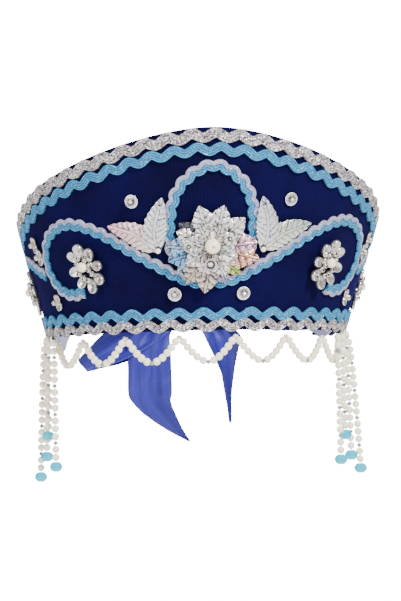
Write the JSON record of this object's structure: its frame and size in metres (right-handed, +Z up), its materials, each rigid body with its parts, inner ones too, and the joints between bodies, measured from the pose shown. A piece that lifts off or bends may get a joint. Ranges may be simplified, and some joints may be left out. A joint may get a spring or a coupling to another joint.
{
  "type": "kokoshnik headdress",
  "caption": "Flared navy velvet band headdress with ric-rac braid, sequin flower and scrolls, pearl fringe, pearl temple pendants and a satin ribbon bow behind.",
  "frame": {"origin": "middle of the rim's plane, where the headdress sits round the head", "axes": "+Z up out of the head, -Y the way the wearer faces, +X to the right as seen from the front"},
  "size_m": [0.2089, 0.2183, 0.1899],
  "materials": {
    "navy_velvet": "matt ribbed velvet",
    "lavender_lining": "plain cloth",
    "silver_braid": "metallic thread braid",
    "light_blue_braid": "metallic thread braid",
    "two_tone_braid": "light blue and silver thread braid",
    "silver_sequin": "metallised film, some of it iridescent",
    "ivory_pearl": "pearl coated",
    "aqua_glass": "faceted glass",
    "blue_satin": "satin ribbon"
  },
  "bodies": {
    "root": {"crown_panel": "navy_velvet", "lining": "lavender_lining", "braid_top_silver": "silver_braid", "braid_top_blue": "light_blue_braid", "braid_rim_blue": "light_blue_braid", "braid_rim_silver": "silver_braid", "scroll_braid": "two_tone_braid", "centre_loop_braid": "two_tone_braid", "side_scroll_left": "two_tone_braid", "side_scroll_right": "two_tone_braid", "upper_leaf_left": "silver_sequin", "upper_leaf_right": "silver_sequin", "lower_leaf_left": "silver_sequin", "lower_leaf_right": "silver_sequin", "round_sequin_low_left": "silver_sequin", "round_sequin_low_right": "silver_sequin", "round_sequin_high_left": "silver_sequin", "round_sequin_high_right": "silver_sequin", "trefoil_low_left": "silver_sequin", "trefoil_low_right": "silver_sequin", "trefoil_middle_left": "silver_sequin", "trefoil_middle_right": "silver_sequin", "trefoil_top_left": "silver_sequin", "trefoil_top_right": "silver_sequin", "bead_bunch_front_left": "silver_sequin", "bead_bunch_front_right": "silver_sequin", "bead_bunch_side_left": "silver_sequin", "bead_bunch_side_right": "silver_sequin", "flower_back_petals": "silver_sequin", "flower_front_petals": "silver_sequin", "flower_pearl": "ivory_pearl", "flower_cup_1": "silver_sequin", "flower_cup_2": "silver_sequin", "flower_cup_3": "silver_sequin", "flower_cup_4": "silver_sequin", "fringe_string": "ivory_pearl", "pendant_left_1": "ivory_pearl", "pendant_left_2": "ivory_pearl", "pendant_left_3": "ivory_pearl", "pendant_left_4": "ivory_pearl", "pendant_right_1": "ivory_pearl", "pendant_right_2": "ivory_pearl", "pendant_right_3": "ivory_pearl", "pendant_right_4": "ivory_pearl", "pendant_drop_left_1": "aqua_glass", "pendant_drop_left_2": "aqua_glass", "pendant_drop_left_3": "aqua_glass", "pendant_drop_left_4": "aqua_glass", "pendant_drop_right_1": "aqua_glass", "pendant_drop_right_2": "aqua_glass", "pendant_drop_right_3": "aqua_glass", "pendant_drop_right_4": "aqua_glass", "ribbon_tie_left": "blue_satin", "ribbon_tie_right": "blue_satin", "bow_knot": "blue_satin", "bow_loop_left": "blue_satin", "bow_loop_right": "blue_satin", "ribbon_tail_left": "blue_satin", "ribbon_tail_right": "blue_satin"}
  },
  "joints": []
}
